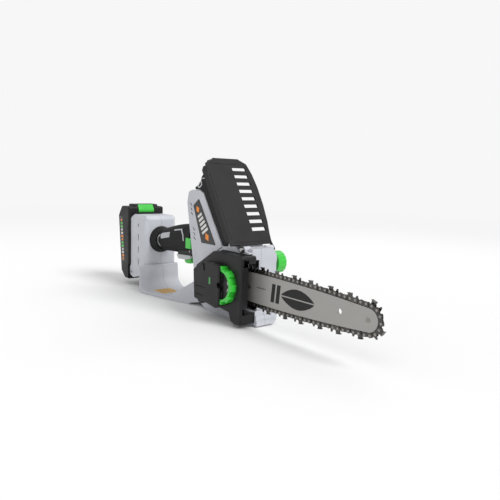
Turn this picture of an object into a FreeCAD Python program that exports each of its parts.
import FreeCAD, Part
import math
import os

os.makedirs("parts", exist_ok=True)
Vec = FreeCAD.Vector

# Battery chainsaw with a rear handle, in millimetres.
# +X points forward along the guide bar, +Y to the operator's left, +Z up.
# The origin lies on the rest plane, below the drive sprocket, on the middle plane of the rear handle.

# ---------------------------------------------------------------- driving dimensions
BAR_Y = -20.0           # middle plane of bar and chain
AXIS_Z = 70.0           # height of the sprocket axis and of the bar's middle line
PITCH = 9.525           # distance from rivet to rivet, 3/8 inch low profile chain
LINK_COUNT = 40         # drive links in the loop
DRIVE_TEETH = 6
NOSE_TEETH = 7
GAUGE = 1.3             # thickness of a drive link
STRAP_T = 1.2           # thickness of a tie strap
RAIL = 4.5              # from the rivet line down to the bar's edge
STRAP_LIFT = 0.7        # running gap that lets the straight links pass over the round nose
GROOVE = 7.5            # depth of the bar's groove
BAR_T = 4.3             # thickness of the guide bar
BOW_R = 3000.0          # radius of the bar's bowed edges, on the rivet line
BOW_X = 86.0            # where the bar is widest
TAIL_X = 66.0           # centre of the rounded shoulder at the bar's tail
TAIL_R = 45.0
BAR_TAIL = 20.0         # X of the bar's rear end

BODY_LEFT = 40.0        # Y of the body's left wall
BODY_RIGHT = -20.0      # Y of the body's right wall, where the sprocket cover seats
FIN_RIGHT = -30.0       # Y of the raised right side panel
WALL = 2.5              # moulded wall thickness
COVER_OUT = -52.0       # outer face of the sprocket cover
HOOD_OUT = -65.0        # outer face of the cover's hood
WHEEL_X = 30.0          # axis of the tension wheel and front bar stud
WHEEL_R = 29.5
WHEEL_BORE = 25.0
HOOD_EDGE = WHEEL_X + 2.0    # front edge of the hood; the wheel shows beyond it

HOUSE_HALF = 40.0       # half width of the rear battery housing
HOUSE_FRONT = -279.0
HOUSE_BACK = -347.0
HOUSE_TOP = 166.0
PACK_HALF = 45.0        # half width of the battery
PACK_TOP = 182.0
GRIP_FRONT = -118.0     # where the rear handle meets the body

LEAN = 32.0             # backward lean of the hand guard, degrees from upright
GUARD_PIVOT = (50.0, 133.0)
GUARD_RIGHT = -51.0     # side edges of the hand guard
GUARD_LEFT = 43.0
GUARD_BULGE = 55.0      # widest point of the guard's bowed left edge
LEVER_PIVOT = (20.0, 108.0)
OIL_CAP = (48.0, 105.5)  # axis of the oil filler
OIL_CAP_R = 20.5
GEAR_CENTRES = 45.0     # from the output shaft to the motor shaft
MOTOR_X = -18.0
MOTOR_Z = AXIS_Z + math.sqrt(GEAR_CENTRES ** 2 - MOTOR_X ** 2)
SHAFT_R = 5.0

DRIVE_R = PITCH / (2 * math.sin(math.pi / (2 * DRIVE_TEETH)))
NOSE_R = PITCH / (2 * math.sin(math.pi / (2 * NOSE_TEETH)))


# ---------------------------------------------------------------- small helpers
def box(x0, x1, y0, y1, z0, z1):
    return Part.makeBox(x1 - x0, y1 - y0, z1 - z0, Vec(x0, y0, z0))


def rod_x(y, z, r, x0, x1):
    return Part.makeCylinder(r, x1 - x0, Vec(x0, y, z), Vec(1, 0, 0))


def rod_y(x, z, r, y0, y1):
    return Part.makeCylinder(r, y1 - y0, Vec(x, y0, z), Vec(0, 1, 0))


def rod_z(x, y, r, z0, z1):
    return Part.makeCylinder(r, z1 - z0, Vec(x, y, z0), Vec(0, 0, 1))


def tube_y(x, z, r_out, r_in, y0, y1):
    return rod_y(x, z, r_out, y0, y1).cut(rod_y(x, z, r_in, y0 - 1, y1 + 1))


def rounded_wire(corners, radius):
    """Closed wire through 3-D corners, each corner turned into an arc of the given radius."""
    edges = []
    count = len(corners)
    last_end = None
    first_start = None
    for i in range(count):
        before = corners[i - 1]
        corner = corners[i]
        after = corners[(i + 1) % count]
        to_before = (before - corner).normalize()
        to_after = (after - corner).normalize()
        half = math.acos(max(-1.0, min(1.0, to_before.dot(to_after)))) / 2
        reach = min((before - corner).Length, (after - corner).Length) * 0.49
        back = min(radius / math.tan(half), reach)
        start = corner + to_before * back
        end = corner + to_after * back
        if last_end is not None and (start - last_end).Length > 1e-6:
            edges.append(Part.makeLine(last_end, start))
        if back > 1e-3 and half < math.pi / 2 - 1e-3:
            arc_r = back * math.tan(half)
            middle_dir = (to_before + to_after).normalize()
            middle = corner + middle_dir * (arc_r / math.sin(half) - arc_r)
            edges.append(Part.Arc(start, middle, end).toShape())
        elif (end - start).Length > 1e-6:
            edges.append(Part.makeLine(start, end))
        if first_start is None:
            first_start = start
        last_end = end
    if (first_start - last_end).Length > 1e-6:
        edges.append(Part.makeLine(last_end, first_start))
    return Part.Wire(edges)


def side_prism(points, y0, y1, radius=0.0):
    """Outline in the XZ plane, given as (x, z) corners, pushed along Y."""
    corners = [Vec(x, y0, z) for x, z in points]
    if radius > 0:
        wire = rounded_wire(corners, radius)
    else:
        wire = Part.makePolygon(corners + [corners[0]])
    return Part.Face(wire).extrude(Vec(0, y1 - y0, 0))


def plan_prism(points, z0, z1, radius=0.0):
    """Outline in the XY plane pushed along Z."""
    corners = [Vec(x, y, z0) for x, y in points]
    if radius > 0:
        wire = rounded_wire(corners, radius)
    else:
        wire = Part.makePolygon(corners + [corners[0]])
    return Part.Face(wire).extrude(Vec(0, 0, z1 - z0))


def front_prism(points, x0, x1, radius=0.0):
    """Outline in the YZ plane pushed along X."""
    corners = [Vec(x0, y, z) for y, z in points]
    if radius > 0:
        wire = rounded_wire(corners, radius)
    else:
        wire = Part.makePolygon(corners + [corners[0]])
    return Part.Face(wire).extrude(Vec(x1 - x0, 0, 0))


def inset_prism(points, y0, y1, inset, radius):
    """The inside of a hollow moulding: the outline moved inwards by the wall thickness."""
    corners = [Vec(x, y0, z) for x, z in points]
    wire = rounded_wire(corners, radius).makeOffset2D(-inset)
    return Part.Face(wire).extrude(Vec(0, y1 - y0, 0))


def rim_fillet(shape, y, radius):
    """Round the edges of a prism that lie in the plane at this Y."""
    edges = [e for e in shape.Edges
             if abs(e.BoundBox.YMin - y) < 0.01 and abs(e.BoundBox.YMax - y) < 0.01]
    return shape.makeFillet(radius, edges)


def fuse_all(shapes):
    return shapes[0].fuse(list(shapes[1:])).removeSplitter()


def save(name, *solids):
    shape = solids[0] if len(solids) == 1 else Part.makeCompound(list(solids))
    shape.exportStep("parts/" + name + ".step")
    size = shape.BoundBox
    print("%-22s solids %3d  volume %9.0f  valid %s  x %.0f..%.0f y %.0f..%.0f z %.0f..%.0f" % (
        name, len(shape.Solids), shape.Volume, shape.isValid(),
        size.XMin, size.XMax, size.YMin, size.YMax, size.ZMin, size.ZMax))


def right_half(shape, seam=0.0):
    return shape.common(box(-600, 600, -300, seam, -100, 500))


def left_half(shape, seam=0.0):
    return shape.common(box(-600, 600, seam, 300, -100, 500))


# ---------------------------------------------------------------- chain path
class ChainPath:
    """The rivet line above the bar, in the bar's own plane, with the sprocket axis at (0, 0)."""

    def __init__(self, nose_x):
        self.nose_x = nose_x
        self.bow_z = -math.sqrt((BOW_R - NOSE_R) ** 2 - (nose_x - BOW_X) ** 2)
        self.nose_angle = math.atan2(-self.bow_z, nose_x - BOW_X)
        self.shoulder_angle = math.acos((TAIL_X - BOW_X) / (BOW_R - TAIL_R))
        self.tail_z = self.bow_z + (BOW_R - TAIL_R) * math.sin(self.shoulder_angle)
        reach = math.hypot(TAIL_X, self.tail_z)
        slope = math.atan2(self.tail_z, TAIL_X) + math.asin((TAIL_R - DRIVE_R) / reach)
        self.ramp_angle = slope + math.pi / 2
        ramp = math.sqrt(reach ** 2 - (TAIL_R - DRIVE_R) ** 2)
        self.arcs = [
            (0.0, 0.0, DRIVE_R, math.pi, self.ramp_angle),
            ("ramp", ramp),
            (TAIL_X, self.tail_z, TAIL_R, self.ramp_angle, self.shoulder_angle),
            (BOW_X, self.bow_z, BOW_R, self.shoulder_angle, self.nose_angle),
            (nose_x, 0.0, NOSE_R, self.nose_angle, 0.0),
        ]
        self.half_length = sum(self.piece_length(piece) for piece in self.arcs)

    def piece_length(self, piece):
        if piece[0] == "ramp":
            return piece[1]
        return piece[2] * (piece[3] - piece[4])

    def point(self, s):
        """Point at distance s along the top half, from behind the sprocket to the nose tip."""
        for piece in self.arcs:
            length = self.piece_length(piece)
            if s <= length or piece is self.arcs[-1]:
                break
            s -= length
        if piece[0] == "ramp":
            c, n = math.cos(self.ramp_angle), math.sin(self.ramp_angle)
            return DRIVE_R * c + s * n, DRIVE_R * n - s * c
        x, z, r, start, end = piece
        angle = start - s / r
        return x + r * math.cos(angle), z + r * math.sin(angle)

    def half_rivets(self):
        """Rivet centres of the top half, one pitch apart, and the length left over."""
        s = 0.0
        rivets = [self.point(0.0)]
        for i in range(LINK_COUNT):
            x0, z0 = rivets[-1]
            low, high = s + PITCH * 0.99, s + PITCH * 1.05
            for step in range(40):
                middle = (low + high) / 2
                x, z = self.point(middle)
                if math.hypot(x - x0, z - z0) < PITCH:
                    low = middle
                else:
                    high = middle
            s = middle
            rivets.append(self.point(s))
        return rivets, s - self.half_length


def fit_chain():
    """Move the bar's nose until the closed loop holds exactly the chain's links."""
    low, high = 290.0, 340.0
    for step in range(40):
        nose_x = (low + high) / 2
        rivets, left_over = ChainPath(nose_x).half_rivets()
        if left_over > 0:
            low = nose_x
        else:
            high = nose_x
    top = rivets[:LINK_COUNT] + [(nose_x + NOSE_R, 0.0)]
    bottom = [(x, -z) for x, z in reversed(top[1:LINK_COUNT])]
    return ChainPath(nose_x), [(x, z + AXIS_Z) for x, z in top + bottom]


PATH, RIVETS = fit_chain()
NOSE_X = PATH.nose_x
print("nose axis at x = %.3f" % NOSE_X)


# ---------------------------------------------------------------- guide bar
def arc_edge(x, z, r, start, end, y):
    def at(angle):
        return Vec(x + r * math.cos(angle), y, AXIS_Z + z + r * math.sin(angle))
    return Part.Arc(at(start), at((start + end) / 2), at(end)).toShape()


def bar_blank(inset, y0, y1):
    """Bar outline moved inwards from the rivet line, from the tail round the nose and back."""
    tail_start = math.pi * 0.76
    tail_half = 13.0 if inset < RAIL + 1 else 9.0
    edges = []
    for side in (1, -1):
        edges.append((TAIL_X, side * PATH.tail_z, TAIL_R - inset, side * tail_start,
                      side * PATH.shoulder_angle))
        edges.append((BOW_X, side * PATH.bow_z, BOW_R - inset, side * PATH.shoulder_angle,
                      side * PATH.nose_angle))
    top = [arc_edge(*e, y0) for e in edges[:2]]
    bottom = [arc_edge(*e, y0) for e in edges[2:]]
    nose = arc_edge(NOSE_X, 0.0, NOSE_R - inset, PATH.nose_angle, -PATH.nose_angle, y0)
    top_start = top[0].Vertexes[0].Point
    bottom_start = Vec(top_start.x, y0, 2 * AXIS_Z - top_start.z)
    tail_top = Vec(BAR_TAIL, y0, AXIS_Z + tail_half)
    tail_bottom = Vec(BAR_TAIL, y0, AXIS_Z - tail_half)
    ends = [Part.makeLine(bottom_start, tail_bottom), Part.makeLine(tail_bottom, tail_top),
            Part.makeLine(tail_top, top_start)]
    wire = Part.Wire(Part.__sortEdges__(top + [nose] + bottom + ends))
    return Part.Face(wire).extrude(Vec(0, y1 - y0, 0))


def bar_cutouts():
    """Stud slot, tension hole, oil hole and hanging hole."""
    y0, y1 = BAR_Y - 5, BAR_Y + 5
    slot = fuse_all([box(26, 62, y0, y1, AXIS_Z - 4.2, AXIS_Z + 4.2),
                     rod_y(26, AXIS_Z, 4.2, y0, y1), rod_y(62, AXIS_Z, 4.2, y0, y1)])
    tension = rod_y(36, AXIS_Z - 11, 3.1, y0, y1)
    oil = rod_y(40, AXIS_Z + 13, 1.5, y0, y1)
    hang = rod_y(NOSE_X - 50.7, AXIS_Z + 1.0, 4.3, y0, y1)
    return slot.fuse([tension, oil, hang])


def make_guide_bar():
    core_t = GAUGE + 0.3
    plate_t = (BAR_T - core_t) / 2
    cuts = bar_cutouts()
    rivet_hole = rod_y(NOSE_X, AXIS_Z, 4.0, BAR_Y - 5, BAR_Y + 5)
    right = bar_blank(RAIL, BAR_Y - BAR_T / 2, BAR_Y - BAR_T / 2 + plate_t).cut(cuts).cut(rivet_hole)
    left = bar_blank(RAIL, BAR_Y + BAR_T / 2 - plate_t, BAR_Y + BAR_T / 2).cut(cuts).cut(rivet_hole)
    pocket = rod_y(NOSE_X, AXIS_Z, NOSE_R - RAIL + 0.6, BAR_Y - 2, BAR_Y + 2)
    core = bar_blank(RAIL + GROOVE, BAR_Y - core_t / 2, BAR_Y + core_t / 2).cut(cuts).cut(pocket)
    save("guide_bar_right_plate", right)
    save("guide_bar_left_plate", left)
    save("guide_bar_core", core)


def make_nose():
    outer = NOSE_R - RAIL - 0.4
    star = rod_y(NOSE_X, AXIS_Z, outer, BAR_Y - 0.55, BAR_Y + 0.55)
    step = 2 * math.pi / NOSE_TEETH
    for k in range(NOSE_TEETH):
        angle = (k + 0.25) * step
        star = star.cut(rod_y(NOSE_X + outer * math.cos(angle), AXIS_Z + outer * math.sin(angle),
                              4.2, BAR_Y - 1, BAR_Y + 1))
    star = star.cut(rod_y(NOSE_X, AXIS_Z, 4.06, BAR_Y - 1, BAR_Y + 1))
    save("nose_sprocket", star)
    pin = rod_y(NOSE_X, AXIS_Z, 4.0, BAR_Y - BAR_T / 2 - 0.3, BAR_Y + BAR_T / 2 + 0.3)
    save("nose_rivet", pin)


# ---------------------------------------------------------------- chain
def place_link(shape, index):
    """Put a link drawn along +X from its first rivet onto the loop."""
    x0, z0 = RIVETS[index]
    x1, z1 = RIVETS[(index + 1) % len(RIVETS)]
    angle = math.degrees(math.atan2(z1 - z0, x1 - x0))
    placed = shape.copy()
    placed.Placement = FreeCAD.Placement(Vec(x0, BAR_Y, z0), FreeCAD.Rotation(Vec(0, 1, 0), -angle))
    return placed


def near_sprocket(index):
    """True for links whose tangs reach into the drive or nose sprocket."""
    x0, z0 = RIVETS[index]
    x1, z1 = RIVETS[(index + 1) % len(RIVETS)]
    x, z = (x0 + x1) / 2, (z0 + z1) / 2
    drive_gap = math.hypot(x, z - AXIS_Z) - DRIVE_R
    nose_gap = math.hypot(x - NOSE_X, z - AXIS_Z) - NOSE_R
    return drive_gap < 9.5 or nose_gap < 3.0


def drive_link(tang):
    low = -RAIL - 6.4 if tang else -RAIL + 0.5
    back = [(-3.6, 3.2), (-3.9, -2.5)]
    if tang:
        back += [(-1.6, -5.5), (1.8, low), (5.2, low), (7.2, -7.0), (PITCH + 1.5, -5.0)]
    else:
        back += [(-1.0, low), (PITCH + 1.0, low)]
    points = back + [(PITCH + 3.8, -2.0), (PITCH + 3.6, 3.2), (PITCH / 2, 1.6)]
    return side_prism(points, -GAUGE / 2, GAUGE / 2, 0.9)


def strap_points(top):
    foot = -RAIL + STRAP_LIFT
    return [(-3.9, foot), (PITCH * 0.38, foot), (PITCH / 2, foot + 1.0), (PITCH * 0.62, foot),
            (PITCH + 3.9, foot), (PITCH + 3.9, top), (PITCH / 2, top - 1.4), (-3.9, top)]


def tie_strap(side):
    inner = side * (GAUGE / 2 + 0.05)
    outer = side * (GAUGE / 2 + 0.05 + STRAP_T)
    return side_prism(strap_points(3.4), min(inner, outer), max(inner, outer), 2.4)


def cutter(side):
    """Side plate with depth gauge in front and a hooded tooth behind, bent over the chain."""
    inner = side * (GAUGE / 2 + 0.05)
    outer = side * (GAUGE / 2 + 0.05 + STRAP_T)
    foot = -RAIL + STRAP_LIFT
    points = [(-2.6, foot), (PITCH * 0.38, foot), (PITCH / 2, foot + 1.0), (PITCH * 0.62, foot),
              (PITCH + 2.4, foot), (PITCH + 3.9, -1.5), (PITCH + 4.2, 3.5),
              (PITCH + 3.6, 6.6), (PITCH + 1.6, 6.9), (PITCH - 1.2, 2.0), (5.4, 1.8), (3.2, 5.0),
              (3.6, 7.8), (-4.9, 7.2), (-4.2, -1.0)]
    plate = side_prism(points, min(inner, outer), max(inner, outer), 0.7)
    tip = -side * 1.6
    top_plate = plan_prism([(-4.9, outer + side * 0.9), (3.5, outer + side * 0.9), (2.2, tip),
                            (-4.6, tip)], 6.7, 7.8)
    tilt = FreeCAD.Rotation(Vec(0, 1, 0), -4.0)
    top_plate.Placement = FreeCAD.Placement(Vec(0.0, 0, 0.1), tilt)
    return plate.fuse(top_plate).removeSplitter()


def make_chain():
    rivet_r = 1.9
    half = GAUGE / 2 + 0.05 + STRAP_T + 0.35
    hole = rod_y(0, 0, rivet_r, -4, 4).fuse(rod_y(PITCH, 0, rivet_r, -4, 4))
    long_tang = drive_link(True).cut(hole)
    short_tang = drive_link(False).cut(hole)
    strap = {side: tie_strap(side).cut(hole) for side in (-1, 1)}
    tooth = {side: cutter(side).cut(hole) for side in (-1, 1)}
    drives, straps, cutters, pins = [], [], {-1: [], 1: []}, []
    for k in range(LINK_COUNT):
        drives.append(place_link(short_tang if near_sprocket(2 * k) else long_tang, 2 * k))
        index = 2 * k + 1
        for side, phase in ((-1, 1), (1, 5)):
            if index % 8 == phase:
                cutters[side].append(place_link(tooth[side], index))
            else:
                straps.append(place_link(strap[side], index))
    for x, z in RIVETS:
        pins.append(rod_y(x, z, rivet_r, BAR_Y - half, BAR_Y + half))
    save("chain_drive_links", *drives)
    save("chain_tie_straps", *straps)
    save("chain_cutters_right", *cutters[-1])
    save("chain_cutters_left", *cutters[1])
    save("chain_rivets", *pins)


# ---------------------------------------------------------------- drive train
def make_output():
    outer = DRIVE_R - RAIL - 0.3
    sprocket = rod_y(0, AXIS_Z, outer, BAR_Y - 4, BAR_Y + 4)
    for k in range(DRIVE_TEETH):
        angle = math.radians(165 + k * 360 / DRIVE_TEETH)
        sprocket = sprocket.cut(rod_y(outer * math.cos(angle), AXIS_Z + outer * math.sin(angle),
                                      2.4, BAR_Y - 5, BAR_Y + 5))
    sprocket = sprocket.cut(rod_y(0, AXIS_Z, SHAFT_R, BAR_Y - 5, BAR_Y + 5))
    save("drive_sprocket", sprocket)
    washer = tube_y(0, AXIS_Z, 10, SHAFT_R, BAR_Y - 5.5, BAR_Y - 4)
    clip = tube_y(0, AXIS_Z, 7.5, SHAFT_R - 0.6, BAR_Y - 6.7, BAR_Y - 5.5)
    save("sprocket_retainer", washer, clip)
    groove = tube_y(0, AXIS_Z, 8, SHAFT_R - 0.6, BAR_Y - 6.7, BAR_Y - 5.5)
    shaft = rod_y(0, AXIS_Z, SHAFT_R, BAR_Y - 9, 28).cut(groove)
    save("output_shaft", shaft)
    drum = rod_y(0, AXIS_Z, 23, -14, -6).cut(rod_y(0, AXIS_Z, 20.5, -12, -5))
    drum = drum.cut(rod_y(0, AXIS_Z, SHAFT_R, -20, 0))
    save("brake_drum", drum)
    save("gear_wheel", gear(0, AXIS_Z, 72, SHAFT_R, 6, 13, 4, 0.0))
    race_pairs = []
    for y0, y1 in ((-4, 3), (19, 26)):
        race_pairs += bearing(0, AXIS_Z, SHAFT_R, 13, y0, y1)
    save("output_bearings", *race_pairs)


def gear(x, z, teeth, bore, y0, y1, web, phase):
    """Spur gear of module 1 with straight-sided teeth."""
    root, tip = teeth / 2 - 1.15, teeth / 2 + 0.85
    points = []
    for k in range(teeth):
        for share, r in ((-0.27, root), (-0.12, tip), (0.12, tip), (0.27, root)):
            angle = 2 * math.pi * (k + share + phase) / teeth
            points.append((x + r * math.cos(angle), z + r * math.sin(angle)))
    wheel = side_prism(points, y0, y1)
    wheel = wheel.cut(rod_y(x, z, bore, y0 - 1, y1 + 1))
    if teeth > 40:
        dish = tube_y(x, z, root - 4, bore + 6, y0 - 1, y0 + (y1 - y0 - web) / 2)
        dish_far = tube_y(x, z, root - 4, bore + 6, y1 - (y1 - y0 - web) / 2, y1 + 1)
        wheel = wheel.cut(dish).cut(dish_far)
    return wheel


def bearing(x, z, bore, outer, y0, y1):
    """Inner race, outer race and a ring of balls."""
    inner_top = bore + 2.2
    outer_low = outer - 2.2
    ball_r = (outer_low - inner_top) / 2 - 0.05
    track = (outer_low + inner_top) / 2
    solids = [tube_y(x, z, inner_top, bore, y0, y1), tube_y(x, z, outer, outer_low, y0, y1)]
    for k in range(9):
        angle = 2 * math.pi * k / 9
        centre = Vec(x + track * math.cos(angle), (y0 + y1) / 2, z + track * math.sin(angle))
        solids.append(Part.makeSphere(ball_r, centre))
    return solids


def make_motor():
    """Flat outrunner-style motor with its pinion on the right and a fan on the left."""
    shaft_r = 3.0
    stator = tube_y(MOTOR_X, MOTOR_Z, 29, 17.5, 16, 31)
    for k in range(12):
        angle = math.radians(15 + 30 * k)
        slot = box(-2.2, 2.2, 17, 30, 20, 27)
        slot.Placement = FreeCAD.Placement(Vec(MOTOR_X, 0, MOTOR_Z),
                                           FreeCAD.Rotation(Vec(0, 1, 0), math.degrees(angle)))
        stator = stator.cut(slot)
    save("motor_stator", stator)
    rotor = rod_y(MOTOR_X, MOTOR_Z, 17, 16.5, 30.5).cut(rod_y(MOTOR_X, MOTOR_Z, 12, 28, 31))
    rotor = rotor.fuse(rod_y(MOTOR_X, MOTOR_Z, shaft_r, 4.5, 36))
    save("motor_rotor", rotor)
    pinion = gear(MOTOR_X, MOTOR_Z, 18, shaft_r, 6, 13, 4, pinion_phase())
    save("motor_pinion", pinion)
    hub = tube_y(MOTOR_X, MOTOR_Z, 6, shaft_r, 32, 36)
    disc = tube_y(MOTOR_X, MOTOR_Z, 24, 6, 32, 33)
    blades = []
    for k in range(9):
        blade = box(4.5, 23, 32.5, 36, -0.6, 0.6)
        blade.Placement = FreeCAD.Placement(Vec(MOTOR_X, 0, MOTOR_Z),
                                            FreeCAD.Rotation(Vec(0, 1, 0), 40.0 * k + 15))
        blades.append(blade)
    save("cooling_fan", fuse_all([hub, disc] + blades))


def pinion_phase():
    """Turn the pinion so that its gap faces a wheel tooth on the line between the centres."""
    angle = math.atan2(MOTOR_Z - AXIS_Z, MOTOR_X)
    wheel_share = (angle / (2 * math.pi) * 72) % 1.0
    pinion_share = ((angle + math.pi) / (2 * math.pi) * 18) % 1.0
    return pinion_share + 0.5 + wheel_share


def make_gear_plate():
    """Cast plate behind the sprocket: carries both bearings, the motor, the studs and the bar pad."""
    outline = [(-34, 40), (62, 36), (62, 104), (20, 112), (6, 146), (-44, 146), (-52, 100)]
    plate = side_prism(outline, -3.8, -0.2, 8)
    plate = plate.cut(rod_y(0, AXIS_Z, 13, -10, 10))
    boss = tube_y(0, AXIS_Z, 16, 13, -3.8, 3)
    pad = side_prism([(27, 52), (66, 50), (70, 62), (70, 78), (66, 90), (27, 88)], -17.8, -3.8, 5)
    lever_pin = rod_y(LEVER_PIVOT[0], LEVER_PIVOT[1], 3.0, -14.5, -3.8)
    plate = fuse_all([plate, boss, pad, lever_pin])
    for x in (WHEEL_X, WHEEL_X + 20):
        plate = plate.cut(rod_y(x, AXIS_Z, 4.0, -20, 5))
    plate = plate.cut(box(28, 46, -18.5, -8, AXIS_Z - 15, AXIS_Z - 7))
    plate = plate.cut(rod_y(MOTOR_X, MOTOR_Z, 8, -10, 5))
    save("gear_plate", plate)
    studs = []
    for x, end in ((WHEEL_X, -55.0), (WHEEL_X + 20, -33.0)):
        studs.append(rod_y(x, AXIS_Z, 3.9, end, -0.2))
    save("bar_studs", *studs)
    carriage = box(33, 41, -17.6, -9, AXIS_Z - 14.6, AXIS_Z - 7.4)
    pin = rod_y(36, AXIS_Z - 11, 3.0, -22.4, -17.0)
    save("tension_block", carriage.fuse(pin).removeSplitter())


def make_brake():
    """Steel band round the drum, the lever that the hand guard turns, and its spring."""
    band = tube_y(0, AXIS_Z, 25.2, 23.6, -13.5, -7.5)
    gap = box(-8, 8, -20, 0, AXIS_Z + 10, AXIS_Z + 40)
    band = band.cut(gap)
    ear = box(7.5, 12, -13.5, -7.5, AXIS_Z + 22.9, AXIS_Z + 30)
    foot = box(-12, -7.5, -13.5, -7.5, AXIS_Z + 22.9, AXIS_Z + 34)
    save("brake_band", fuse_all([band, ear, foot]))
    x, z = LEVER_PIVOT
    pivot = tube_y(x, z, 6, 3.1, -13.5, -7.5)
    arm = side_prism([(x - 7, z + 4), (x - 11, z - 5), (x - 6, z - 6), (x, z + 5)], -13.5, -7.5, 1.0)
    arm = arm.cut(rod_y(x, z, 3.1, -20, 0))
    save("brake_lever", pivot.fuse(arm).removeSplitter())
    turns = 7
    coil = Part.makeHelix(3.2, 3.2 * turns, 3.6)
    start = Part.Wire(Part.makeCircle(0.6, Vec(3.6, 0, 0), Vec(0, 1, 0.15)))
    spring = Part.Wire(coil.Edges).makePipeShell([start], True, False)
    spring.Placement = FreeCAD.Placement(Vec(-35.4, -10.5, AXIS_Z + 28), FreeCAD.Rotation(Vec(0, 1, 0), 90))
    save("brake_spring", spring)


# ---------------------------------------------------------------- main body
BODY_OUTLINE = [(-70, 0), (72, 0), (74, 34), (67, 60), (66, 128), (34, 131), (8, 150), (-24, 174),
                (-112, 174), (-116, 150), (-104, 76), (-92, 12)]
FIN_OUTLINE = [(-98, 66), (-66, 98), (-8, 131), (-19, 146), (-72, 225), (-84, 230), (-112, 230),
               (-123, 226), (-128, 205), (-113, 131)]
SHOULDER_OUTLINE = [(-98, 66), (-66, 98), (-8, 126), (66, 126), (66, 129), (34, 132), (8, 151),
                    (-24, 170), (-90, 174), (-116, 150), (-105, 90)]
COVER_OUTLINE = [(-60, 48), (-53, 24), (-38, 22), (-34, 27), (2, 22), (17, 26), (44, 23), (49, 9),
                 (60, 6), (77, 6), (77, 125), (-6, 125), (-60, 92)]


def body_solid():
    block = side_prism(BODY_OUTLINE, BODY_RIGHT, BODY_LEFT, 7)
    block = rim_fillet(block, BODY_LEFT, 6)
    slope = front_prism([(29, 134), (60, 134), (60, 112), (40, 121)], 22, 90)
    block = block.cut(slope)
    shoulder = side_prism(SHOULDER_OUTLINE, -28, BODY_RIGHT, 2)
    fin = rim_fillet(side_prism(FIN_OUTLINE, FIN_RIGHT, -6, 5), FIN_RIGHT, 1.6)
    front_top = front_prism([(-19.9, 110), (-19.9, 135.5), (28, 135.5), (33, 128), (38, 118), (38, 110)], 36, 66, 2)
    lugs = [rod_y(*GUARD_PIVOT, 5.5, -28, -14), rod_y(*GUARD_PIVOT, 5.0, 22, 39.8)]
    return block.fuse([shoulder, fin, front_top] + lugs).removeSplitter()


def body_hollow():
    inside = inset_prism(BODY_OUTLINE, BODY_RIGHT + WALL, BODY_LEFT - WALL, WALL, 7)
    inside = inside.cut(front_prism([(26, 136), (65, 136), (65, 108), (37, 118)], 18, 90))
    fin_inside = inset_prism(FIN_OUTLINE, FIN_RIGHT + WALL, -6 - WALL, WALL + 0.5, 5)
    return inside.fuse(fin_inside)


def sprocket_bay():
    """Recess in the right wall for sprocket, drum and chain, open to the cover."""
    points = [(-42, 32), (-30, 26), (68.6, 26), (68.6, 116), (0, 117), (-30, 106), (-44, 98)]
    mouth = box(60, 84, -60, -13.0, 26, 116)
    return side_prism(points, -60, -3.8, 4).fuse(mouth)


def vent_slots():
    """Slanted air inlets along the rear edge of the right side panel."""
    slots = []
    for base_x, base_z in ((-113, 201), (-102, 154)):
        for k in range(3):
            x = base_x + 1.6 * k
            z = base_z - 9.0 * k
            slots.append(side_prism([(x - 4.5, z + 3.0), (x - 1.5, z + 4.0), (x + 4.5, z - 1.6),
                                     (x + 1.5, z - 2.6)], -40, -20, 0.8))
    return slots


def make_body(parts_inside):
    outer = body_solid()
    shell = outer.cut(body_hollow())
    rim = side_prism([(-45, 30), (-32, 23), (88, 23), (88, 119), (0, 120), (-32, 109), (-47, 100)],
                     BODY_RIGHT, -3.9, 4).common(side_prism(BODY_OUTLINE, BODY_RIGHT, 0, 7))
    shell = shell.fuse(rim).cut(sprocket_bay())
    for slot in vent_slots():
        shell = shell.cut(slot)
    shell = shell.cut(parts_inside)
    right = right_half(shell)
    left = left_half(shell)
    save("body_shell_right", right)
    save("body_shell_left", left)
    return outer


def make_bumper():
    """Ribbed pale block low on the body's front face."""
    steps = [box(74.5, 83, -19.6, 22, 2, 11), box(74.5, 80.5, -19.6, 22, 11, 20),
             box(74.5, 78, -19.6, 22, 20, 28)]
    save("front_bumper", fuse_all(steps))


def make_name_plate():
    points = [(-86, 214), (-104, 200), (-74, 131), (-28, 131)]
    save("name_plate", side_prism(points, FIN_RIGHT - 0.8, FIN_RIGHT, 2))


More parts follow.
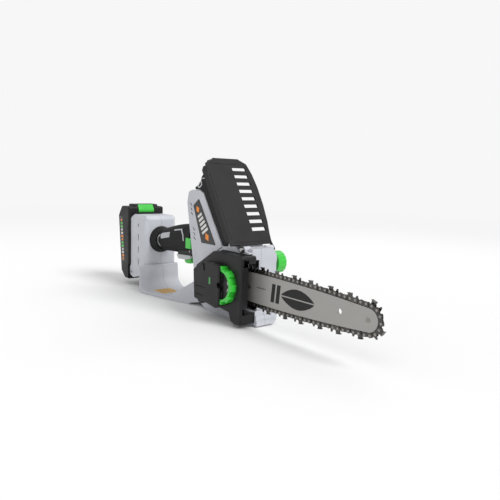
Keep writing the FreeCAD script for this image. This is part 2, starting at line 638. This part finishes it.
# ---------------------------------------------------------------- sprocket cover and tension wheel
def make_cover():
    body = side_prism(COVER_OUTLINE, COVER_OUT, BODY_RIGHT - 0.2, 4)
    body = rim_fillet(body, COVER_OUT, 2.5)
    hood_outline = [(-46, 33), (20, 30), (HOOD_EDGE, 34), (HOOD_EDGE, 104), (14, 108), (-22, 104),
                    (-50, 88)]
    hood = side_prism(hood_outline, HOOD_OUT, COVER_OUT + 4, 5)
    hood = rim_fillet(hood, HOOD_OUT, 3)
    cover = body.fuse(hood).removeSplitter()
    inside = inset_prism(COVER_OUTLINE, COVER_OUT + 6 + WALL, BODY_RIGHT + 5, 3, 4)
    cover = cover.cut(inside)
    exit_slot = box(60, 90, -37, 0, 26, 112)
    pockets = [box(72, 90, -48, -36, 106, 119), box(72, 90, -48, -36, 24, 35)]
    cover = cover.cut(exit_slot).cut(pockets[0]).cut(pockets[1])
    recess = rod_y(WHEEL_X, AXIS_Z, WHEEL_R + 5.5, HOOD_OUT + 2.5, COVER_OUT + 7)
    front_open = rod_y(WHEEL_X, AXIS_Z, WHEEL_R + 5.5, HOOD_OUT - 5, COVER_OUT + 7).common(
        box(HOOD_EDGE, 200, -100, 0, 0, 300))
    stud_hole = rod_y(WHEEL_X, AXIS_Z, 5.0, -80, 0)
    cover = cover.cut(recess).cut(front_open).cut(stud_hole)
    notch = side_prism([(-20, 103), (-12, 103), (-10, 90), (-15, 89), (-16, 97)], -80, HOOD_OUT + 1.6, 1)
    grooves = [box(-60, -12, -80, HOOD_OUT + 1.2, z, z + 1.8) for z in (43, 58)]
    window = box(1, 6, -80, HOOD_OUT + 1.0, 68, 80)
    cover = cover.cut(notch).cut(grooves[0]).cut(grooves[1]).cut(window)
    save("sprocket_cover", cover)
    save("tension_window", box(1.1, 5.9, HOOD_OUT + 0.1, HOOD_OUT + 1.0, 68.1, 79.9))


def make_tension_wheel():
    front, back = HOOD_OUT + 3.2, COVER_OUT + 6.6
    ring = tube_y(WHEEL_X, AXIS_Z, WHEEL_R, WHEEL_BORE, front, back)
    lugs = []
    for k in range(8):
        lug = box(WHEEL_R - 2, WHEEL_R + 4.0, front - 0.4, back - 0.8, -6.0, 6.0)
        lug.Placement = FreeCAD.Placement(Vec(WHEEL_X, 0, AXIS_Z),
                                          FreeCAD.Rotation(Vec(0, 1, 0), 45.0 * k))
        lugs.append(lug)
    save("tension_wheel", fuse_all([ring] + lugs))
    hub = rod_y(WHEEL_X, AXIS_Z, WHEEL_BORE - 0.1, front + 3.5, back).cut(rod_y(WHEEL_X, AXIS_Z, 7.0, -80, 0))
    nut = tube_y(WHEEL_X, AXIS_Z, 7.0, 3.95, front + 5, back)
    save("wheel_hub", hub, nut)


# ---------------------------------------------------------------- rear handle, housing, lower guard
def oval(x, z, half_width, half_height):
    """Oval section across the handle, standing in the YZ plane."""
    flat = half_width >= half_height
    axis = Vec(0, 1, 0) if flat else Vec(0, 0, 1)
    big, small = max(half_width, half_height), min(half_width, half_height)
    other = Vec(1, 0, 0).cross(axis)
    ellipse = Part.Ellipse(Vec(x, 0, z) + axis * big, Vec(x, 0, z) + other * small, Vec(x, 0, z))
    return Part.Wire(ellipse.toShape())


GRIP_SECTIONS = [(-276, 114, 20, 22), (-262, 115, 18.5, 22), (-240, 118, 19.5, 26), (-212, 122, 20, 28.5),
                 (-185, 125, 20, 30.5), (-160, 128, 19.5, 30.5), (-136, 130, 19, 30),
                 (GRIP_FRONT, 131, 19, 29.5)]


def grip_loft(grow, skip_start=0, skip_end=0):
    sections = GRIP_SECTIONS[skip_start:len(GRIP_SECTIONS) - skip_end]
    wires = [oval(x, z, w + grow, h + grow) for x, z, w, h in sections]
    return Part.makeLoft(wires, True, False)


TRIGGER_WELL = (-176.0, -141.0)
TRIGGER_PIVOT = (-146.0, 103.0)


def trigger_boss():
    """The block under the handle that carries the trigger."""
    return side_prism([(-188, 106), (-190, 92), (-184, 86), (-158, 88), (-134, 96), (-134, 110)], -11, 11, 3)


def make_rear_handle():
    core = grip_loft(-3.0)
    core = core.cut(grip_loft(-6.5))
    boss = trigger_boss().cut(grip_loft(-6.5))
    well = box(TRIGGER_WELL[0], TRIGGER_WELL[1], -7.0, 7.0, 60, 120)
    button_hole = box(-141, -121.5, -40, 0, 111, 133)
    pin_hole = rod_y(*TRIGGER_PIVOT, 2.02, -11, 11)
    core = core.fuse(boss).removeSplitter().cut(well).cut(button_hole).cut(pin_hole)
    save("rear_handle_right", right_half(core))
    save("rear_handle_left", left_half(core))
    sleeve = grip_loft(0.0, 1, 1).cut(grip_loft(-2.9))
    sleeve = sleeve.cut(box(-200, -120, -11.3, 11.3, 60, 112)).cut(button_hole.copy())
    collar = Part.makeCone(29.5, 24, 16.9, Vec(-278.8, 0, 113), Vec(1, 0, 0)).cut(grip_loft(-2.9))
    sleeve = sleeve.fuse(collar).removeSplitter().cut(lead_hole())
    save("rear_grip", max(sleeve.Solids, key=lambda solid: solid.Volume))


def make_trigger():
    """Trigger with a finger face, its pivot pin, and the switch behind it."""
    blade = side_prism([(-172, 106), (-173.5, 92), (-170, 79), (-164, 76), (-148, 77), (-146, 84),
                        (-151, 92), (-142.5, 99), (-142.5, 107)], -6.0, 6.0, 3)
    blade = blade.cut(rod_y(*TRIGGER_PIVOT, 2.07, -10, 10))
    save("trigger", blade)
    save("trigger_pin", rod_y(*TRIGGER_PIVOT, 2.0, -10.8, 10.8))
    switch = box(-178, -150, -8, 8, 116, 134)
    plunger = box(-170, -166, -3, 3, 112.5, 116)
    save("trigger_switch", switch.fuse(plunger).removeSplitter())
    button = box(-140.6, -121.9, -24.5, -12.5, 111.4, 132.6)
    button = button.makeFillet(1.5, [e for e in button.Edges if e.BoundBox.YMax < -24.4])
    save("lock_off_button", button)


def lead_hole():
    """Passage for the power leads between the housing and the hollow handle."""
    return rod_x(0, 111, 9, -285, -270)


HOUSE_OUTLINE = [(HOUSE_FRONT, 40), (HOUSE_FRONT, 158), (-285, HOUSE_TOP), (-340, HOUSE_TOP),
                 (HOUSE_BACK, 158), (HOUSE_BACK, 48), (-352, 44), (-352, 26), (-336, 20), (-300, 30)]


def make_rear_housing():
    outer = side_prism(HOUSE_OUTLINE, -HOUSE_HALF, HOUSE_HALF, 7)
    outer = outer.common(front_prism([(-40, 0), (-40, 157), (-31, 170), (31, 170), (40, 157), (40, 0)],
                                     -400, -200, 12))
    column = plan_prism([(-400, -40), (HOUSE_FRONT, -40), (HOUSE_FRONT, 40), (-400, 40)], 0, 200, 11)
    outer = outer.common(column)
    hollow = side_prism([(HOUSE_FRONT - WALL, 46), (HOUSE_FRONT - WALL, HOUSE_TOP - WALL),
                         (-328, HOUSE_TOP - WALL), (-328, 46)], -HOUSE_HALF + WALL, HOUSE_HALF - WALL, 4)
    hollow = hollow.common(front_prism([(-37.5, 0), (-37.5, 156.2), (-29.7, 167.5), (29.7, 167.5),
                                        (37.5, 156.2), (37.5, 0)], -400, -200, 9.5))
    hollow = hollow.common(plan_prism([(-400, -37.5), (HOUSE_FRONT - WALL, -37.5),
                                       (HOUSE_FRONT - WALL, 37.5), (-400, 37.5)], 0, 200, 8.5))
    shell = outer.cut(hollow)
    channel = box(-341.2, -331, -32, 32, 40, 200).fuse(box(-360, -341.2, -27, 27, 40, 200))
    shell = shell.cut(channel)
    shell = shell.cut(lead_hole()).cut(box(-331.1, -327.9, -20.2, 20.2, 59.8, 84.2))
    holes = [rod_y(-311, 143, 3.2, -60, -HOUSE_HALF + 2), rod_y(-311, 143, 3.2, HOUSE_HALF - 2, 60)]
    slots = [box(-313.5, -309.5, side * 39 - 4, side * 39 + 4, z, z + 14)
             for z in (109, 81, 53) for side in (-1, 1)]
    for cutter_shape in holes + slots:
        shell = shell.cut(cutter_shape)
    shell = shell.cut(box(-350, -338, -60, -HOUSE_HALF + 3, 30, 33))
    save("rear_housing_right", right_half(shell))
    save("rear_housing_left", left_half(shell))
    block = box(-330.8, -322, -20, 20, 60, 84)
    tabs = [box(-339, -330.8, y - 0.6, y + 0.6, 62, 80) for y in (-14, -5, 5, 14)]
    save("terminal_block", fuse_all([block] + tabs))


def make_lower_guard():
    """Broad strip from the housing's foot to the body, under the hand."""
    sweep = side_prism([(-278.9, 58), (-278.9, 0), (-118, 0), (-118, 8), (-150, 7), (-266, 7), (-271, 58)],
                       -62, HOUSE_HALF, 40)
    foot = side_prism([(-172, 0), (-138, 0), (-96, 8), (-92.5, 13), (-103, 52), (-132, 34), (-172, 10)],
                      -62, HOUSE_HALF, 4)
    strip = sweep.fuse(foot).removeSplitter()
    plan = [(-286, -40), (-278, -56), (-262, -60), (-190, -46), (-104, -22), (-88, -18), (-88, 28),
            (-190, 36), (-262, 39), (-286, 39)]
    strip = strip.common(plan_prism(plan, -10, 80, 20))
    strip = strip.cut(rod_z(-128, -14, 3.0, -5, 6))
    save("lower_guard_right", right_half(strip))
    save("lower_guard_left", left_half(strip))


# ---------------------------------------------------------------- battery
def make_battery():
    outline = [(-348, 14), (-370, 14), (-388, 30), (-402, 160), (-386, PACK_TOP), (-348, PACK_TOP)]
    outer = side_prism(outline, -PACK_HALF, PACK_HALF, 5)
    outer = rim_fillet(rim_fillet(outer, -PACK_HALF, 4), PACK_HALF, 4)
    crown = side_prism([(-349, 176), (-386, 176), (-384, 187), (-352, 187)], -26, 30, 3)
    rail = box(-340.6, -334, -31.4, 31.4, 49, 168).fuse(box(-348.5, -340.6, -26.4, 26.4, 49, 168))
    foot_room = box(-352.6, -330, -60, 60, 0, 48.6)
    pack = fuse_all([outer.cut(foot_room), crown, rail])
    pack = pack.cut(box(-390, -350, -PACK_HALF + 4, PACK_HALF - 4, 26, 163).common(
        inset_prism(outline, -PACK_HALF, PACK_HALF, WALL, 5)))
    pack = pack.cut(side_prism([(-340, 169), (-340, 200), (-366.5, 200), (-366.5, 178.5), (-356.5, 169)],
                               -20, 20))
    pack = pack.cut(box(-339.8, -330, -18, 18, 36, 90))
    save("battery_case", pack)
    cells = []
    for column in range(2):
        for row in range(5):
            x = -360.0 - 18.4 * column
            z = 56 + 20.0 * row
            cells.append(rod_y(x, z, 9.0, -32.5, 32.5))
    save("battery_cells", *cells)
    button = side_prism([(-347.8, 169.3), (-347.8, 175), (-354.5, 186.4), (-362, 186.4), (-362, 180),
                         (-352.8, 171.2), (-352.8, 169.3)], -19.6, 19.6, 0.8)
    save("battery_release", button)


# ---------------------------------------------------------------- front handle and hand guard
def front_handle_solid():
    leg = side_prism([(12, 134), (-8, 131.5), (-72.5, 226.5), (-84, 231), (-112, 231), (-88, 242),
                      (-70, 266), (-48, 262)], FIN_RIGHT, -12, 6)
    leg = rim_fillet(leg, FIN_RIGHT, 3)
    corners = [Vec(-72, -22, 250), Vec(-108, 58, 254), Vec(-86, 58, 196), Vec(-74, 47, 150)]
    path = [corners[0]]
    edges = []
    radius = 22.0
    for i in (1, 2):
        to_before = (corners[i - 1] - corners[i]).normalize()
        to_after = (corners[i + 1] - corners[i]).normalize()
        half = math.acos(to_before.dot(to_after)) / 2
        back = radius / math.tan(half)
        start = corners[i] + to_before * back
        end = corners[i] + to_after * back
        middle = corners[i] + (to_before + to_after).normalize() * (radius / math.sin(half) - radius)
        edges.append(Part.makeLine(path[-1], start))
        edges.append(Part.Arc(start, middle, end).toShape())
        path.append(end)
    edges.append(Part.makeLine(path[-1], corners[3]))
    spine = Part.Wire(edges)
    direction = (corners[1] - corners[0]).normalize()
    section = Part.Wire(Part.makeCircle(13.0, corners[0], direction))
    bail = spine.makePipeShell([section], True, False)
    return leg.fuse(bail).removeSplitter()


def make_front_handle(body):
    handle = front_handle_solid().cut(body)
    save("front_handle", max(handle.Solids, key=lambda solid: solid.Volume))


def lean_point(along, out):
    """Point on the guard's leaning plane: distance up the slope and out from its rear face."""
    angle = math.radians(LEAN)
    x = 47 - along * math.sin(angle) + out * math.cos(angle)
    z = 133 + along * math.cos(angle) + out * math.sin(angle)
    return x, z


def make_hand_guard():
    thick = 3.2
    height = 184.0
    sheet = side_prism([lean_point(7, 0), lean_point(height, 0), lean_point(height, thick),
                        lean_point(7, thick)], GUARD_RIGHT, GUARD_BULGE)
    crest = side_prism([lean_point(height - 14, thick), lean_point(height - 14, 0),
                        lean_point(height - 4, -10), lean_point(height, -8), lean_point(height + 3, 1)],
                       -34, 34, 2)
    upright = front_prism([(GUARD_RIGHT, 130), (GUARD_RIGHT, 266), (-46, 281), (-26, 289), (-18, 300),
                           (26, 300), (31, 290), (47, 282), (52.5, 264), (GUARD_BULGE, 240), (54, 208),
                           (50, 178), (45, 158), (GUARD_LEFT, 146), (GUARD_LEFT, 130)],
                          -120, 120, 5)
    guard = sheet.fuse(crest).removeSplitter().common(upright)
    for k in range(9):
        along = 33 + 15.6 * k
        right_end = 7.0 + 0.25 * k
        slot = side_prism([lean_point(along, -20), lean_point(along + 8.0, -20),
                           lean_point(along + 8.0, 20), lean_point(along, 20)], right_end, right_end + 32)
        guard = guard.cut(slot)
    px, pz = GUARD_PIVOT
    arms = []
    for y0, y1 in ((-33.0, -28.4), (40.3, GUARD_LEFT)):
        arm = side_prism([lean_point(10, thick), lean_point(44, thick), lean_point(44, thick - 1),
                          (px - 7, pz + 6), (px - 6, pz - 3), (px, pz - 6), (px + 6, pz - 3)], y0, y1, 2)
        arms.append(arm.cut(rod_y(px, pz, 3.0, y0 - 1, y1 + 1)))
    flange = side_prism([lean_point(12, thick - 1), lean_point(170, thick - 1), lean_point(164, -9),
                         lean_point(20, -9)], GUARD_RIGHT, GUARD_RIGHT + 3, 3)
    guard = fuse_all([guard, flange] + arms)
    save("hand_guard", guard)
    pins = [rod_y(px, pz, 3.0, -33.8, -22.0), rod_y(px, pz, 3.0, 30.0, GUARD_LEFT + 0.6)]
    save("guard_pins", *pins)


# ---------------------------------------------------------------- oiling, electronics, small parts
def make_oil():
    tank = box(39, 61, 0.5, 34, 30, 96)
    x, z = OIL_CAP
    neck = rod_y(x, z, 9.0, 18, 39.4)
    throat = box(40, 57, 12, 30, 96, 114)
    tank = fuse_all([tank, throat, neck])
    tank = tank.cut(box(40.5, 59.5, 2, 32.5, 31.5, 94.5)).cut(rod_y(x, z, 7.4, 20, 60))
    tank = tank.cut(box(43, 54, 14, 28, 90, 106))
    save("oil_tank", tank)
    grip = rod_y(x, z, OIL_CAP_R, 41, 60)
    for k in range(16):
        angle = 2 * math.pi * k / 16
        groove_x = x + (OIL_CAP_R + 1.9) * math.cos(angle)
        groove_z = z + (OIL_CAP_R + 1.9) * math.sin(angle)
        grip = grip.cut(rod_y(groove_x, groove_z, 2.6, 44, 62))
    for side in (-1, 1):
        grip = grip.cut(rod_y(x, z + 10.5 * side, 7.5, 54, 62))
    stem = rod_y(x, z, 7.0, 28, 41)
    save("oil_cap", grip.fuse(stem).removeSplitter())
    save("cap_gasket", tube_y(x, z, 12.5, 7.1, 40.1, 40.9))
    pump = box(8, 30, 0, 14, 8, 24).fuse(rod_x(7, 16, 5, 30, 36)).removeSplitter()
    save("oil_pump", pump)


def make_controller():
    case = box(-89, -55, -10, 26, 26, 62)
    fins = [box(-89 + 5 * k, -87 + 5 * k, -10, 26, 62, 68) for k in range(7)]
    save("motor_controller", fuse_all([case] + fins))


def make_leads():
    """Two power leads from the terminal block along the hollow grip to the switch."""
    leads = []
    for y in (-4.0, 4.0):
        points = [Vec(-321.8, y, 72), Vec(-305, y, 80), Vec(-290, y, 105), Vec(-276, y, 112),
                  Vec(-240, y, 118), Vec(-178.4, y, 125)]
        curve = Part.BSplineCurve()
        curve.interpolate(points)
        section = Part.Wire(Part.makeCircle(1.6, points[0], Vec(1, 0, 0)))
        leads.append(Part.Wire(curve.toShape()).makePipeShell([section], True, False))
    save("power_leads", *leads)


def screw_spots():
    return [(-88, 30, BODY_LEFT), (56, 20, BODY_LEFT), (-96, 160, BODY_LEFT), (-10, 20, BODY_LEFT)]


def make_screws():
    screws = []
    for x, z, y in screw_spots():
        head = rod_y(x, z, 3.0, y - 2.4, y - 0.4)
        socket = rod_y(x, z, 1.4, y - 1.4, y + 1)
        screws.append(head.fuse(rod_y(x, z, 1.6, y - 12, y - 2.4)).cut(socket))
    for y in (-HOUSE_HALF + 0.6, HOUSE_HALF - 1.8):
        screws.append(rod_y(-311, 143, 3.0, y, y + 1.2))
    save("shell_screws", *screws)


def screw_pockets():
    pockets = []
    for x, z, y in screw_spots():
        pockets.append(rod_y(x, z, 3.2, y - 2.4, y + 2))
        pockets.append(rod_y(x, z, 1.7, y - 12.2, y))
    return pockets


def make_handle_trim():
    """Pale inlays on the rear grip, the shelf above the trigger and the front handle's ring and line."""
    skin = grip_loft(0.7, 1, 1).cut(grip_loft(0.05, 1, 1)).cut(box(-270, -261.8, -40, 40, 60, 160))
    band = side_prism([(-246, 119), (-250, 128), (-246, 131), (-212, 137), (-210, 126)], -40, -8, 1)
    hook = side_prism([(-254, 128), (-262, 122), (-263, 110), (-256, 100), (-254, 102), (-260, 111),
                       (-259, 120), (-252, 126)], -40, -8, 0.6)
    corner = side_prism([(-196, 144), (-168, 148), (-156, 136), (-154, 124), (-157, 124), (-159, 135),
                         (-170, 145), (-196, 141)], -40, -8, 0.6)
    pieces = [skin.common(shape) for shape in (band, hook, corner)]
    ring_y = FIN_RIGHT - 0.7
    ring = side_prism([(-92, 236), (-84, 234), (-76, 240), (-78, 249), (-85, 245)], ring_y, FIN_RIGHT, 2)
    ring = ring.cut(side_prism([(-88, 237.5), (-84, 237), (-79, 241), (-80, 246), (-84, 243)], -40, 0, 1))
    line = side_prism([(-77, 253.5), (-76, 251.5), (-58, 253.5), (-58, 255.5)], ring_y, FIN_RIGHT, 0.5)
    shelf = side_prism([(-186, 83.4), (-193, 92), (-140, 95), (-140, 88.5), (-158, 84.6)], -12.4, 12.4, 1)
    shelf = shelf.cut(trigger_boss()).cut(box(-200, -130, -7.5, 7.5, 80, 100))
    return pieces + [ring, line] + shelf.Solids


# ---------------------------------------------------------------- build everything
def make_all():
    make_guide_bar()
    make_nose()
    make_chain()
    make_output()
    make_motor()
    make_gear_plate()
    make_brake()
    bores = fuse_all([rod_y(*GUARD_PIVOT, 3.1, -29.5, -21), rod_y(*GUARD_PIVOT, 3.1, 29, 45),
                      rod_y(*OIL_CAP, 9.3, 34, 42)] + screw_pockets())
    outer = make_body(bores)
    make_bumper()
    make_name_plate()
    make_cover()
    make_tension_wheel()
    make_rear_handle()
    make_trigger()
    make_rear_housing()
    make_lower_guard()
    make_battery()
    make_front_handle(outer)
    make_hand_guard()
    make_oil()
    make_controller()
    make_leads()
    make_screws()
    save("handle_trim", *make_handle_trim())


make_all()
